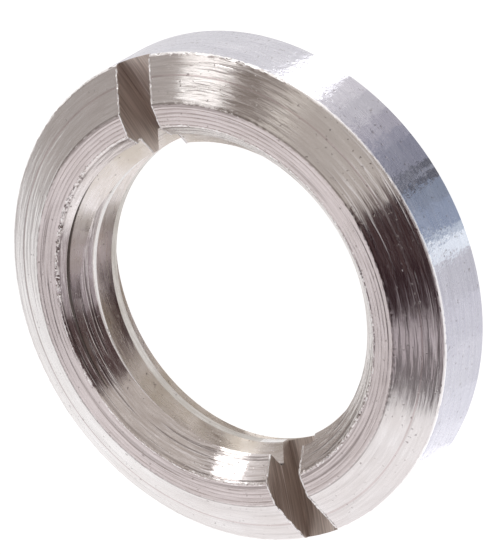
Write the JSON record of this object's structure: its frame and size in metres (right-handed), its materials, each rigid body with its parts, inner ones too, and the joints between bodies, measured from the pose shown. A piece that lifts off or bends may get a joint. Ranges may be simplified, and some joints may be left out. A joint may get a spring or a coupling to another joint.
{
  "type": "slotted round nut",
  "caption": "Slotted round nut: a short threaded ring with a coned front, countersunk bore ends and spanner slots across its front face.",
  "frame": {"origin": "centre of the flat back face, on the bore axis", "axes": "+Z along the bore axis, out of the slotted front; +Y along the spanner slots"},
  "size_m": [0.0142, 0.0142, 0.0027],
  "materials": {
    "turned_metal": "bright plated over fine turning marks"
  },
  "bodies": {
    "root": {"slotted_ring_nut": "turned_metal"}
  },
  "joints": []
}
